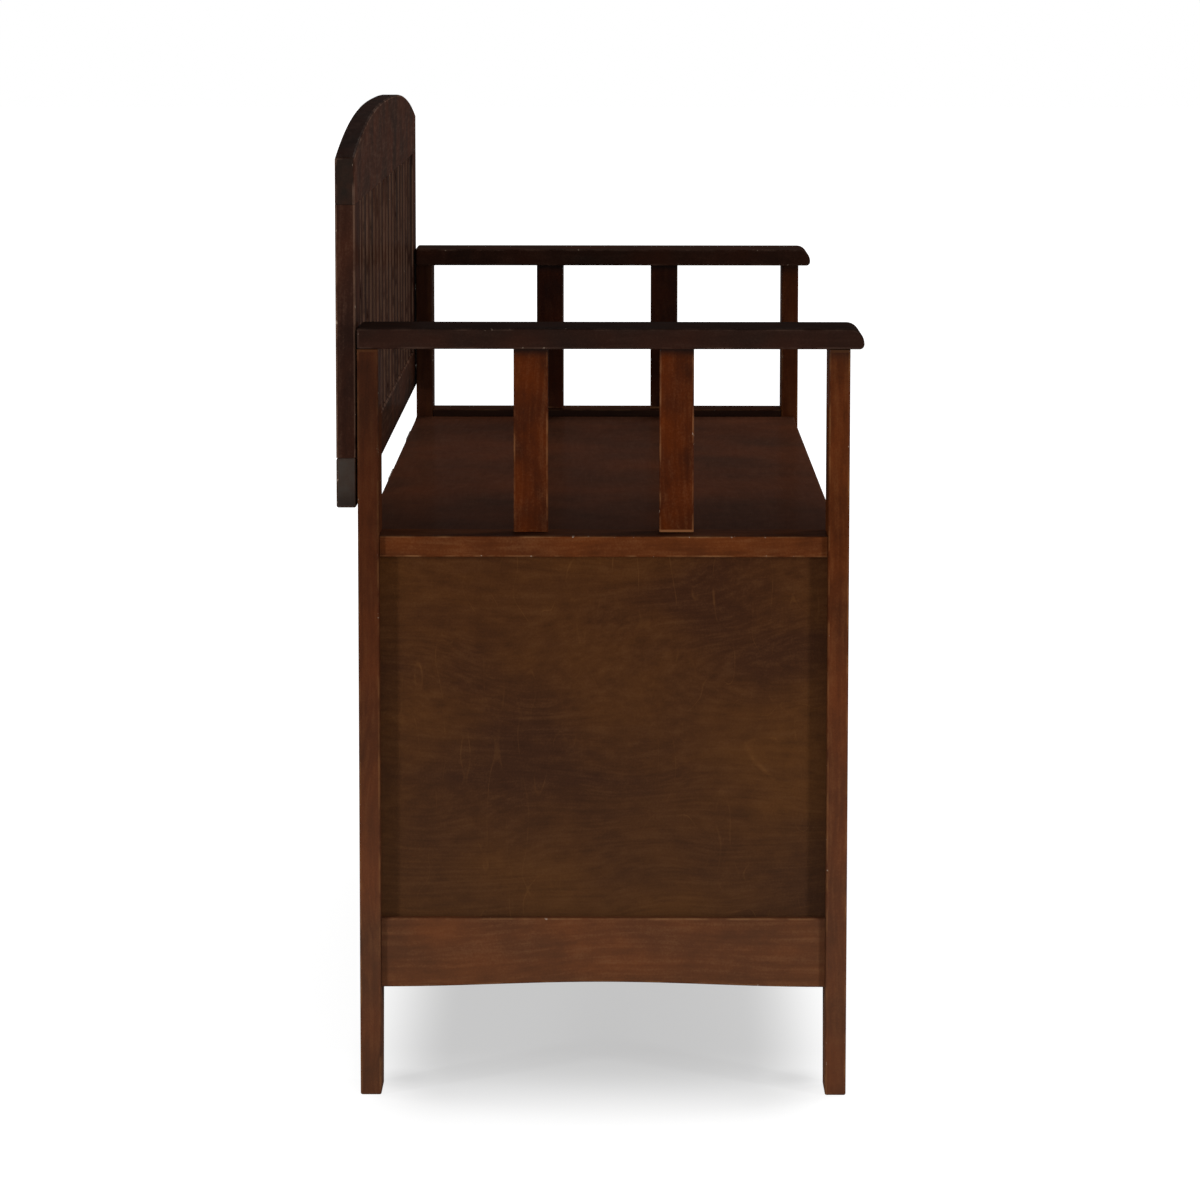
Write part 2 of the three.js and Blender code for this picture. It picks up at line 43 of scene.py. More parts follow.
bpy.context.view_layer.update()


# Legs. Four flat boards of hardwood with their wide faces to the front and the rear, stained and
# varnished. The inner edge is sawn to a taper below the lower rails, and every long edge is sanded
# round, where the stain has worn thin.
class Socket:
    """A shader socket that adds a Math node for each sum or product it is used in."""

    def __init__(self, end):
        self.end = end

    @staticmethod
    def of(tree, kind, settings, sockets, output=0):
        """One output of a new node, with these settings and with these values or links."""
        node = tree.nodes.new("ShaderNode" + kind)
        for key, value in settings.items():
            setattr(node, key, value)
        for key, value in sockets.items():
            if isinstance(value, Socket):
                tree.links.new(value.end, node.inputs[key])
            else:
                node.inputs[key].default_value = value
        return Socket(node.outputs[output])

    def math(self, operation, other=0, flip=False):
        sockets = {0: other, 1: self} if flip else {0: self, 1: other}
        return Socket.of(self.end.id_data, "Math", {"operation": operation}, sockets)

    def __add__(self, other):
        return self.math("ADD", other)

    def __sub__(self, other):
        return self.math("SUBTRACT", other)

    def __rsub__(self, other):
        return self.math("SUBTRACT", other, flip=True)

    def __mul__(self, other):
        return self.math("MULTIPLY", other)

    def __truediv__(self, other):
        return self.math("DIVIDE", other)

    def __pow__(self, other):
        return self.math("POWER", other)

    __radd__ = __add__
    __rmul__ = __mul__


def paint(hex_colour):
    """The linear colour that shows as this sRGB colour."""
    parts = [int(hex_colour[i : i + 2], 16) / 255 for i in (0, 2, 4)]
    return tuple(p / 12.92 if p <= 0.04045 else ((p + 0.055) / 1.055) ** 2.4 for p in parts)


def place_on(tree):
    """The place of a point on the object, in metres."""
    return Socket.of(tree, "TexCoord", {}, {}, output=3)


def face_mark(tree, name):
    """A value that the faces of a board carry."""
    return Socket.of(tree, "Attribute", {"attribute_name": name}, {}, output=2)


def noise(tree, place, scale, detail=2, shift=0.0):
    """Noise with this many features per metre, alike all ways or along, across and through."""
    scale = scale if isinstance(scale, tuple) else (scale, scale, scale)
    sockets = {0: place, 1: scale, 2: (shift, shift, shift)}
    point = Socket.of(tree, "VectorMath", {"operation": "MULTIPLY_ADD"}, sockets)
    return Socket.of(tree, "TexNoise", {}, {"Vector": point, "Scale": 1, "Detail": detail})


def span(tree, value, low, high, to_low=0.0, to_high=1.0, kind="LINEAR"):
    """The value drawn out from one range to another, and held at its ends."""
    sockets = {"Value": value, "From Min": low, "From Max": high, "To Min": to_low, "To Max": to_high}
    return Socket.of(tree, "MapRange", {"clamp": True, "interpolation_type": kind}, sockets)


def mixed(tree, factor, first, second):
    """One colour laid over another."""
    colours = [c if isinstance(c, Socket) else (*c, 1) for c in (first, second)]
    sockets = {0: factor, 6: colours[0], 7: colours[1]}
    return Socket.of(tree, "Mix", {"data_type": "RGBA", "blend_type": "MIX"}, sockets, output=2)


GRAIN_TURNS = {"X": (0, 0, 0), "Y": (0, 0, -math.pi / 2), "Z": (0, math.pi / 2, 0)}
PORE_SHADOW = (0.006, 0.003, 0.002)
FLECK_GOLD = paint("a8703c")
BARE_WOOD = paint("a99380")
TONE_AND_SHADE_DARK = paint("181413")
DARKENING_BROWN = paint("1b1614")


def stained_wood(name, grain, warm, cool, worn, cut_end, seed=0.0, depth=0.5, sway=0.05, patch=20,
                 flecks=0.0, rubbed_from=0.44, painted_floor_bounce="505050", gloss=0.02):
    """Stained hardwood: swaying fibres, two tones where the stain soaked in, pores and flecks."""
    material = bpy.data.materials.new(name)
    material.use_nodes = True
    tree = material.node_tree
    shader = tree.nodes["Principled BSDF"]
    at = place_on(tree)
    along = Socket.of(tree, "Mapping", {}, {"Vector": at, "Rotation": GRAIN_TURNS[grain]})
    drift = (noise(tree, along, (3.4, 5.5, 5.5), detail=1.5, shift=1.9 + seed) - 0.5) * sway
    drift = Socket.of(tree, "CombineXYZ", {}, {"Y": drift, "Z": drift})
    run = Socket.of(tree, "VectorMath", {"operation": "ADD"}, {0: along, 1: drift})

    fibres = noise(tree, run, (12, 260, 260), detail=4)
    streaks = noise(tree, run, (3.5, 60, 60), detail=4, shift=3.1 + seed)
    soaked = noise(tree, along, (patch * 0.7, patch, patch), detail=4, shift=7.7 + seed)
    mottle = noise(tree, along, (60, 100, 100), detail=3, shift=4.2 + seed)
    growth = noise(tree, run, (1.1, 26, 26), detail=1.5, shift=8.6 + seed)
    grit = noise(tree, at, 620, shift=5.9 + seed)
    pores = span(tree, noise(tree, along, (60, 1300, 1300), detail=1), 0.60, 0.72)

    figure = (streaks - 0.5) * 1.2 + (growth - 0.5) * 0.9 + (mottle - 0.5) * 0.8
    tones = (soaked - 0.5) * 2.6 + figure * depth
    colour = mixed(tree, span(tree, tones, -0.5, 0.5), paint(cool), paint(warm))
    surface = (fibres - 0.5) * 1.4 + (mottle - 0.5) * 0.8 - pores * 0.15
    shade = surface * depth + (grit - 0.5) * 0.35
    colour = mixed(tree, span(tree, shade, 0.0, 0.5, 0.0, 0.5), colour, paint(worn))
    colour = mixed(tree, span(tree, shade, -0.5, 0.0, 0.6, 0.0), colour, PORE_SHADOW)
    if flecks:
        ridge = noise(tree, run, (48, 48, 7), detail=0, shift=6.4 + seed) - 0.5
        thin = span(tree, ridge.math("ABSOLUTE"), 0.0, 0.013, 1.0, 0.0)
        broken = span(tree, noise(tree, at, 40, detail=3, shift=2.2 + seed), 0.46, 0.66)
        bands = span(tree, noise(tree, at, 9, shift=9.1 + seed), 0.32, 0.58)
        colour = mixed(tree, thin * broken * bands * flecks, colour, FLECK_GOLD)
    ends = face_mark(tree, "cut_end")
    colour = mixed(tree, ends * span(tree, mottle, 0.3, 0.7, 0.6, 1.0), colour, paint(cut_end))
    arris = face_mark(tree, "arris")
    rubbed = noise(tree, at, 45, detail=5, shift=5.3 + seed)
    rubbed = span(tree, rubbed, rubbed_from, rubbed_from + 0.2, 0.0, 0.6)
    colour = mixed(tree, arris * rubbed, colour, paint(worn))
    chipped = span(tree, noise(tree, at, 170, detail=3, shift=6.6 + seed), 0.69, 0.73, 0.0, 0.8)
    colour = mixed(tree, arris * chipped, colour, BARE_WOOD)
    # Painted light: the colour turns paler and greyer towards the floor, for the light the floor bounces up.
    height = Socket.of(tree, "SeparateXYZ", {}, {"Vector": at}, output=2)
    colour = mixed(tree, span(tree, height, 0.12, 0.46, 0.11, 0.0), colour, paint(painted_floor_bounce))
    # The tone mark darkens the colour: the piece's own tone, and painted shade on inner and upper faces.
    colour = mixed(tree, face_mark(tree, "tone"), colour, TONE_AND_SHADE_DARK)
    tree.links.new(colour.end, shader.inputs["Base Color"])

    rough = 0.55 + (fibres - 0.5) * 0.2 + ends * 0.2
    tree.links.new(rough.end, shader.inputs["Roughness"])
    shader.inputs["Specular IOR Level"].default_value = 0.0
    film = gloss * (0.4 + mottle * 1.2) * (1 - ends * 0.6)
    tree.links.new(film.end, shader.inputs["Coat Weight"])
    shader.inputs["Coat Roughness"].default_value = 0.2
    relief = fibres * 0.7 + streaks * 0.5 - pores * 0.5
    bump = Socket.of(tree, "Bump", {}, {"Height": relief, "Strength": 0.25, "Distance": 0.0003})
    tree.links.new(bump.end, shader.inputs["Normal"])
    return material


def darken_along(material, axis, start, end, most):
    """Paints the colour darker from one place to another along an axis of the bench."""
    tree = material.node_tree
    base = tree.nodes["Principled BSDF"].inputs["Base Color"]
    sockets = {"Vector": place_on(tree)}
    place = Socket.of(tree, "SeparateXYZ", {}, sockets, output="XYZ".index(axis))
    darker = span(tree, place, start, end, 0.0, most, kind="SMOOTHSTEP")
    colour = mixed(tree, darker, Socket(base.links[0].from_socket), DARKENING_BROWN)
    tree.links.new(colour.end, base)


def sawn(name, low, high):
    """A sawn board between two corners."""
    low, high = Vector(low), Vector(high)
    bpy.ops.mesh.primitive_cube_add(size=1, location=(low + high) / 2, scale=high - low)
    piece = bpy.context.object
    piece.name = piece.data.name = name
    bpy.ops.object.transform_apply(location=True, rotation=True, scale=True)
    return piece


def copy_at(piece, name, shift):
    """A copy of a modelled piece with its own mesh, moved to its place."""
    twin = piece.copy()
    twin.data = piece.data.copy()
    twin.name = twin.data.name = name
    twin.data.transform(Matrix.Translation(shift))
    bpy.context.scene.collection.objects.link(twin)
    return twin


def pick(piece, kind, test, among=None):
    """Goes into edit mode with the vertices, edges or faces selected that pass the test."""
    bpy.context.view_layer.objects.active = piece
    if bpy.context.mode == "EDIT_MESH":
        bpy.ops.object.mode_set(mode="OBJECT")
    mesh = piece.data
    for group in (mesh.vertices, mesh.edges, mesh.polygons):
        group.foreach_set("select", [False] * len(group))
    if kind == "VERT":
        for vertex in mesh.vertices:
            vertex.select = test(vertex.co)
    elif kind == "EDGE":
        for edge in mesh.edges:
            a, b = (mesh.vertices[i].co for i in edge.vertices)
            chosen = among is None or edge.index in among
            edge.select = chosen and test((a + b) / 2, (b - a).normalized())
    else:
        for face in mesh.polygons:
            face.select = test(face.center, face.normal)
    bpy.ops.object.mode_set(mode="EDIT")
    bpy.ops.mesh.select_mode(type=kind)


def pick_sharp(piece, degrees):
    """Goes into edit mode with the edges selected that turn by more than an angle."""
    pick(piece, "EDGE", lambda middle, direction: False)
    bpy.ops.mesh.edges_select_sharp(sharpness=math.radians(degrees))


def score(piece, height):
    """Draws an edge round the board at a height."""
    pick(piece, "VERT", lambda co: True)
    bpy.ops.mesh.bisect(plane_co=(0, 0, height), plane_no=(0, 0, 1))


def ease(piece, radius, which=lambda middle, direction: True, worn=1.0):
    """Sands the sharp edges that pass the test round, and marks the sanded strips as worn."""
    pick_sharp(piece, 30)
    bpy.ops.object.mode_set(mode="OBJECT")
    sharp = {edge.index for edge in piece.data.edges if edge.select}
    pick(piece, "EDGE", which, among=sharp)
    bpy.ops.mesh.bevel(offset=radius, segments=3, profile=0.5, affect="EDGES", clamp_overlap=True)
    bpy.ops.object.mode_set(mode="OBJECT")
    corners = piece.data.vertices
    strips = [
        face.area < 0.9 * radius * max((corners[a].co - corners[b].co).length for a, b in face.edge_keys)
        for face in piece.data.polygons
    ]
    marks = piece.data.attributes.new("arris", "FLOAT", "FACE")
    marks.data.foreach_set("value", [worn * float(strip) for strip in strips])


def rub(piece, worn, test):
    """Marks the faces that pass the test with the pale colour of the worn edges."""
    for face, mark in zip(piece.data.polygons, piece.data.attributes["arris"].data):
        if test(face.center, face.normal):
            mark.value = worn


def varnish(piece, material, grain, tone, body, slot, *nodes, inner=0.45, top=0.0):
    """Marks the cut ends, marks the inner and upper faces darker as painted shade, and finishes."""
    axis = "XYZ".index(grain)
    ends = piece.data.attributes.new("cut_end", "FLOAT", "FACE")
    ends.data.foreach_set("value", [float(abs(face.normal[axis]) > 0.9) for face in piece.data.polygons])
    tones = piece.data.attributes.new("tone", "FLOAT", "FACE")
    # Painted shade: faces that look into the bench, and faces that look up, get a darker tone.
    for face, mark in zip(piece.data.polygons, tones.data):
        inward, upward = face.center.x * face.normal.x < -0.5, face.normal.z > 0.3
        mark.value = tone + inner * inward + top * upward
    pick_sharp(piece, 60)
    bpy.ops.mesh.mark_sharp()
    bpy.ops.object.mode_set(mode="OBJECT")
    bpy.ops.object.select_all(action="DESELECT")
    piece.select_set(True)
    bpy.context.view_layer.objects.active = piece
    bpy.ops.object.shade_smooth()
    piece.modifiers.new("flat faces", "WEIGHTED_NORMAL").keep_sharp = True
    bpy.ops.object.modifier_apply(modifier="flat faces")
    piece.data.materials.clear()
    piece.data.materials.append(material)
    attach(piece, body)
    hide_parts(*nodes)
    bpy.ops.object.select_all(action="DESELECT")


near, hair = 0.001, 0.0001
fit_gap = 0.0003
edge_round = 0.0016
foot_width = 0.045
rubbed_top, pale_foot_strip = 0.8, 0.7
apron_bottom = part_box("left_lower_rail")[0].z
arm_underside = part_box("left_arm")[0].z
strip_under_arm = arm_underside - 0.0025

front_leg_wood, rear_leg_wood = (
    stained_wood(f"{row}_leg_wood", "Z", "612e13", "482411", "82532f", "3a2a20", seed=seed, painted_floor_bounce="9a7e68")
    for row, seed in (("front", 0.4), ("rear", 0.9))
)
# Painted shade: the front legs darken towards their tops, and most just under the arm.
darken_along(front_leg_wood, "Z", 0.40, 0.64, 0.14)
darken_along(front_leg_wood, "Z", arm_underside - 0.014, arm_underside, 0.6)
# Painted shade: the rear legs darken from low down up towards the arm.
darken_along(rear_leg_wood, "Z", 0.10, 0.62, 0.55)

for end, side in (("left", -1), ("right", 1)):
    low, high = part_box(f"front_{end}_leg")
    high.z = arm_underside - fit_gap
    outer = side * max(abs(low.x), abs(high.x))
    leg = sawn(f"front_{end}_leg_board", low, high)
    score(leg, apron_bottom)
    score(leg, strip_under_arm)
    pick(leg, "VERT", lambda co: co.z < near and abs(co.x - outer) > near)
    bpy.ops.transform.translate(value=(side * (high.x - low.x - foot_width), 0, 0))
    ease(leg, edge_round, lambda middle, direction: abs(direction.z) > 0.5 or middle.z < near)
    rear_leg = copy_at(leg, f"rear_{end}_leg_board", (0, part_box(f"rear_{end}_leg")[0].y - low.y, 0))
    pair = (("front", leg, front_leg_wood, 1), ("rear", rear_leg, rear_leg_wood, -1))
    for row, piece, wood, inward in pair:
        rub(piece, rubbed_top, lambda middle, normal: middle.z > strip_under_arm)
        # The inner faces of each foot's taper are drawn paler.
        rub(piece, pale_foot_strip, lambda middle, normal: middle.z < apron_bottom and normal.y * inward > 0.9)
        varnish(piece, wood, "Z", 0.0, "bench", "stained_wood", f"{row}_{end}_leg", inner=0.25)


# Arms. Flat boards laid on the legs, flush outside and behind. The front end is rolled over the legs
# with a spokeshave, and the corner behind the sitter's elbow is rounded. Their stain is the darkest
# on the bench.
def board(node):
    """A sawn board that fills the box of a CAD node."""
    return sawn(node + "_board", *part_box(node))


arm_wood = stained_wood("arm_wood", "Y", "3d2218", "2c1e18", "5e463a", "241a16",
                        patch=24, depth=0.25, gloss=0.004)
nose_run = 0.0115
nose_lip = 0.0045
lip_round = 0.004
elbow_round = 0.006
arm_round = 0.0018

for end, side, tone in (("left", -1, 0.38), ("right", 1, 0.0)):
    node = f"{end}_arm"
    low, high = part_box(node)
    arm = board(node)
    pick(arm, "EDGE", lambda middle, direction: middle.y < low.y + near and middle.z > high.z - near)
    bpy.ops.mesh.bevel(offset=nose_run, segments=8, profile=0.5, affect="EDGES")
    stretch = (high.z - low.z - nose_lip) / nose_run
    pick(arm, "VERT", lambda co: co.y < low.y + nose_run + near and low.z + near < co.z < high.z - hair)
    bpy.ops.transform.resize(value=(1, 1, stretch), center_override=(0, 0, high.z))
    pick(arm, "EDGE", lambda middle, direction: middle.y < low.y + near and middle.z < low.z + near)
    bpy.ops.mesh.bevel(offset=lip_round, segments=5, profile=0.5, affect="EDGES")
    elbow = Vector((side * min(abs(low.x), abs(high.x)), high.y, (low.z + high.z) / 2))
    pick(arm, "EDGE", lambda middle, direction: (middle - elbow).length < near)
    bpy.ops.mesh.bevel(offset=elbow_round, segments=4, profile=0.5, affect="EDGES")
    ease(arm, arm_round, worn=0.8)
    # Painted shade: the arm's top face is darker; the left arm also has a darker tone.
    varnish(arm, arm_wood, "Y", tone, "bench", "dark_wood", node, inner=0.0, top=0.2)


# Arm slats. Two upright slats of the same hardwood under each arm, housed in the arm above and in
# the seat rail below. Painted shade lies dark under the arm, and each slat's foot is drawn pale.
def running(axis):
    """A test for the edges that run along an axis."""
    return lambda middle, direction: abs(direction["XYZ".index(axis)]) > 0.5


slat_wood = stained_wood("arm_slat_wood", "Z", "5b270c", "3e1d0f", "8a5a38", "3a2a20", depth=0.35, patch=40)
# Painted shade: the slats turn dark just under the arm.
darken_along(slat_wood, "Z", arm_underside - 0.011, arm_underside, 1.0)
seat_rail_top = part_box("left_seat_rail")[1].z
slim_round = 0.0014
slat_foot = 0.002
slat_foot_pale = 3.0

first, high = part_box("left_arm_front_slat")
first.z, high.z = seat_rail_top + fit_gap, arm_underside - fit_gap
arm_slat = sawn("arm_slat_board", first, high)
score(arm_slat, first.z + slat_foot)
ease(arm_slat, slim_round, running("Z"))
rub(arm_slat, slat_foot_pale, lambda middle, normal: middle.z < first.z + slat_foot)

# Painted shade: the slats at the right, far end are darker.
for end, tone in (("left", 0.0), ("right", 0.12)):
    for row in ("front", "rear"):
        node = f"{end}_arm_{row}_slat"
        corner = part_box(node)[0]
        slat = copy_at(arm_slat, node + "_board", (corner.x - first.x, corner.y - first.y, 0))
        varnish(slat, slat_wood, "Z", tone, "bench", "stained_wood", node)
bpy.data.objects.remove(arm_slat)


# End rails. The seat rail is a flat board between the legs, level with the seat. The lower rail
# stands on edge under the panel, and its lower edge is sawn to a very shallow arch.
rail_wood = stained_wood("end_rail_wood", "Y", "673518", "4e2916", "8a5f3c", "3a2a20",
                         seed=1.3, depth=0.5, painted_floor_bounce="a47e62", gloss=0.005)
end_arch_rise = 0.0042
arch_steps = 24


def between_legs(node):
    """The box of a rail's CAD node without its tenons, which are hidden in the legs."""
    low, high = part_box(node)
    low.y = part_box("front_left_leg")[1].y + fit_gap
    high.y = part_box("rear_left_leg")[0].y - fit_gap
    return low, high


def saw_arch(piece, axis, rise):
    """Saws the lower edge to an arch that runs out flat at both ends."""
    run = "XYZ".index(axis)
    low = min(corner.co.z for corner in piece.data.vertices)
    ends = [corner.co[run] for corner in piece.data.vertices]
    start, length = min(ends), max(ends) - min(ends)
    pick(piece, "EDGE", running(axis))
    bpy.ops.mesh.subdivide(number_cuts=arch_steps - 1)
    for step in range(1, arch_steps // 2 + 1):
        places = [start + length * share for share in (step / arch_steps, 1 - step / arch_steps)]
        pick(piece, "VERT", lambda co: co.z < low + hair and min(abs(co[run] - p) for p in places) < near / 2)
        lift = rise * (1 - math.cos(2 * math.pi * step / arch_steps)) / 2
        bpy.ops.transform.translate(value=(0, 0, lift))


left_seat_rail = sawn("left_seat_rail_board", *between_legs("left_seat_rail"))
ease(left_seat_rail, edge_round, running("Y"))
left_lower_rail = sawn("left_lower_rail_board", *between_legs("left_lower_rail"))
saw_arch(left_lower_rail, "Y", end_arch_rise)
ease(left_lower_rail, edge_round, running("Y"))

# Painted shade: the seat rails' inner faces go nearly black and their tops darker; the lower rails' less.
for kind, left, inner, top in (("seat", left_seat_rail, 0.85, 0.6), ("lower", left_lower_rail, 0.45, 0.0)):
    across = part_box(f"right_{kind}_rail")[0].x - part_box(f"left_{kind}_rail")[0].x
    right = copy_at(left, f"right_{kind}_rail_board", (across, 0, 0))
    for end, rail in (("left", left), ("right", right)):
        node = f"{end}_{kind}_rail"
        varnish(rail, rail_wood, "Y", 0.0, "bench", "stained_wood", node, inner=inner, top=top)


# End panels. Thin veneered boards let into grooves in the legs and the end rails. The veneer's
# figure runs across the end in long loops, and its stain is a little thinner in the growth lines.
def veneer(name, grain):
    """The stained veneer of the panels."""
    return stained_wood(name, grain, "563317", "3f2415", "6e4a2c", "3a2a20",
                        seed=2.5, depth=0.42, sway=0.22, patch=9, flecks=0.12, painted_floor_bounce="575045")


def dress(node, material):
    """Gives its material to a solid that shows as it is."""
    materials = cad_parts[node].data.materials
    materials.clear()
    materials.append(material)


end_panel_wood = veneer("end_panel_veneer", "Y")
for end in ("left", "right"):
    dress(f"{end}_panel", end_panel_wood)


# Front and rear of the case. Long rails tenoned into the edges of the legs, the lower ones arched,
# a stile in the middle of the front, and thin panels in their grooves.
long_rail_wood, stile_wood = (
    stained_wood(name, grain, "5a2f17", "442517", "7d543a", "3a2a20")
    for name, grain in (("long_rail_wood", "X"), ("case_stile_wood", "Z"))
)
long_panel_wood = veneer("long_panel_veneer", "X")
left_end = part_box("front_left_leg")[1].x + fit_gap
rail_thickness = 0.0175
long_arch_rise = 0.020

for row in ("front", "rear"):
    for level in ("top", "lower"):
        node = f"{row}_{level}_rail"
        low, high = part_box(node)
        low.x, high.x = left_end, -left_end
        if row == "front":
            low.y = high.y - rail_thickness
        rail = sawn(node + "_board", low, high)
        if level == "lower":
            saw_arch(rail, "X", long_arch_rise)
        ease(rail, edge_round, running("X"))
        varnish(rail, long_rail_wood, "X", 0.0, "bench", "stained_wood", node)

low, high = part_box("front_centre_stile")
low.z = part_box("front_lower_rail")[1].z + fit_gap
high.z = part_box("front_top_rail")[0].z - fit_gap
centre_stile = sawn("front_centre_stile_board", low, high)
ease(centre_stile, slim_round, running("Z"))
varnish(centre_stile, stile_wood, "Z", 0.0, "bench", "stained_wood", "front_centre_stile")
for node in ("front_left_panel", "front_right_panel", "rear_panel", "floor_board"):
    dress(node, long_panel_wood)


# Seat. One wide glued-up board that lifts as the lid of the box, between two short fixed strips that
# fill the seat out to the posts of the arms. The end that lies in the shade of the arm is painted
# darker, as painted shade.
seat_wood = stained_wood("seat_wood", "X", "542f1f", "42291e", "6e4e3a", "3a2a20",
                         depth=0.2, patch=9, gloss=0.005)
# Painted shade of the left arm on the seat.
darken_along(seat_wood, "X", -0.1, -0.6, 0.6)

lid_round, strip_round = 0.002, 0.001

for node, body, seat_round in (
    ("lid", "lid", lid_round),
    ("left_seat_strip", "bench", strip_round),
    ("right_seat_strip", "bench", strip_round),
):
    seat = board(node)
    ease(seat, seat_round, worn=0.3)
    varnish(seat, seat_wood, "X", 0.0, body, "stained_wood", node)


# Hinges and bolts. Three steel butt hinges join the rear edge of the lid to the rail behind it, each
# held by small slotted screws, and four hexagon-socket bolts hold the backrest to the rear legs.
steel = bpy.data.materials.new("worn_steel")
steel.use_nodes = True
tree = steel.node_tree
shader = tree.nodes["Principled BSDF"]
at = place_on(tree)
brushed = noise(tree, at, (60, 900, 2400), detail=3)
grime = noise(tree, at, 90, detail=4)
colour = mixed(tree, span(tree, grime, 0.35, 0.7), paint("7d766b"), paint("4f4942"))
tree.links.new(colour.end, shader.inputs["Base Color"])
rough = 0.3 + brushed * 0.2 + grime * 0.12
tree.links.new(rough.end, shader.inputs["Roughness"])
shader.inputs["Metallic"].default_value = 1.0
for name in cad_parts:
    if "hinge" in name or "bolt" in name:
        dress(name, steel)

head_radius = 0.0032
head_height = 0.0012
head_round = 0.0005
slot_depth = 0.0006
slot_half_width = 0.0004
leaf_stands_out = 0.0018
knuckle_radius = 0.0032
frame_leaf_screws, lid_leaf_screws = -0.016, 0.009
screw_shares = (0.1, 0.5, 0.9)

bpy.ops.mesh.primitive_cylinder_add(vertices=20, radius=head_radius, depth=head_height, location=(0, 0, 0),
                                    rotation=(math.pi / 2, 0, 0))
screw = bpy.context.object
bpy.ops.object.transform_apply(location=True, rotation=True, scale=True)
face_y = head_height / 2 - hair
pick(screw, "EDGE", lambda middle, direction: middle.y > face_y and abs(direction.y) < 0.1)
bpy.ops.mesh.bevel(offset=head_round, segments=2, profile=0.6, affect="EDGES")
for slot_edge in (slot_half_width, -slot_half_width):
    pick(screw, "VERT", lambda co: co.y > face_y)
    bpy.ops.mesh.bisect(plane_co=(0, 0, slot_edge), plane_no=(0, 0, 1))
pick(screw, "FACE", lambda middle, normal: normal.y > 0.9 and abs(middle.z) < slot_half_width - hair)
bpy.ops.mesh.extrude_region_move(TRANSFORM_OT_translate={"value": (0, -slot_depth, 0)})
bpy.ops.object.mode_set(mode="OBJECT")
screw.data.materials.append(steel)

leaf_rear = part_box("lid")[1].y + leaf_stands_out
for place in ("left", "middle", "right"):
    pin_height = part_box(f"{place}_hinge_frame_leaf")[1].z - knuckle_radius
    for leaf, body, rise in (("frame", "bench", frame_leaf_screws), ("lid", "lid", lid_leaf_screws)):
        low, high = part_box(f"{place}_hinge_{leaf}_leaf")
        for i, share in enumerate(screw_shares):
            spot = (low.x + (high.x - low.x) * share, leaf_rear, pin_height + rise)
            copy = copy_at(screw, f"{place}_hinge_{leaf}_screw_{i + 1}", spot)
            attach(copy, body)
bpy.data.objects.remove(screw)


# Backrest. Two wide stiles, a bottom rail and an arched crest rail over them, with upright slats
# between them, all almost flush. It stands behind the rear legs and is bolted to them.
back_wood = stained_wood("back_stile_wood", "Z", "44261a", "301e18", "7b5c4a", "3b2f29",
                         depth=0.4, rubbed_from=0.3, gloss=0.009)
crest_wood = stained_wood("crest_wood", "X", "4b2c20", "35251e", "785d4e", "26201c", depth=0.4, gloss=0.009)
back_rail_wood = stained_wood("back_rail_wood", "X", "45281c", "31221b", "6c4f40", "463e38",
                              depth=0.4, gloss=0.009)
crest_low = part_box("crest_rail")[0].z
rail_low, rail_high = (corner.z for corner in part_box("back_bottom_rail"))
# The bottom rail darkens towards its lower edge.
darken_along(back_rail_wood, "Z", rail_high - 0.02, rail_low, 0.5)
crest_rise = 0.033
crest_power = 2.6
crest_steps = 36
crest_round = 0.002
back_rail_round = 0.0018
stile_tone = 0.1

crest = board("crest_rail")
low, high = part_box("crest_rail")
pick(crest, "EDGE", running("X"))
bpy.ops.mesh.subdivide(number_cuts=crest_steps - 1)
for step in range(crest_steps // 2 + 1):
    share = 1 - 2 * step / crest_steps
    pick(crest, "VERT", lambda co: co.z > high.z - hair and abs(abs(co.x) - high.x * share) < near / 2)
    bpy.ops.transform.translate(value=(0, 0, -crest_rise * share**crest_power))
ease(crest, crest_round, lambda middle, direction: middle.z > crest_low + near)
# Painted shade: the arched top face is darker.
varnish(crest, crest_wood, "X", 0.0, "bench", "dark_wood", "crest_rail", top=0.5)

back_rail = board("back_bottom_rail")
ease(back_rail, back_rail_round,
     lambda middle, direction: middle.z < rail_high - near or abs(direction.x) > 0.9)
varnish(back_rail, back_rail_wood, "X", 0.0, "bench", "dark_wood", "back_bottom_rail")

low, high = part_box("back_left_stile")
low.z, high.z = rail_high + fit_gap, crest_low - fit_gap
left_stile = sawn("back_left_stile_board", low, high)
ease(left_stile, edge_round, running("Z"))
right_stile = copy_at(left_stile, "back_right_stile_board", (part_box("back_right_stile")[0].x - low.x, 0, 0))
for end, stile in (("left", left_stile), ("right", right_stile)):
    varnish(stile, back_wood, "Z", stile_tone, "bench", "stained_wood", f"back_{end}_stile")

first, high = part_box("back_slat_1")
first.z, high.z = rail_high + fit_gap, crest_low - fit_gap
back_slat = sawn("back_slat_board", first, high)
ease(back_slat, edge_round, running("Z"))
for i in range(1, 18):
    # Each slat has its own tone, plus painted shade that darkens the slats towards the right, far end.
    tone = 0.012 * i + 0.05 * (i * 7 % 5)
    slat = copy_at(back_slat, f"back_slat_{i}_board", (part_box(f"back_slat_{i}")[0].x - first.x, 0, 0))
    varnish(slat, back_wood, "Z", tone, "bench", "stained_wood", f"back_slat_{i}")
bpy.data.objects.remove(back_slat)


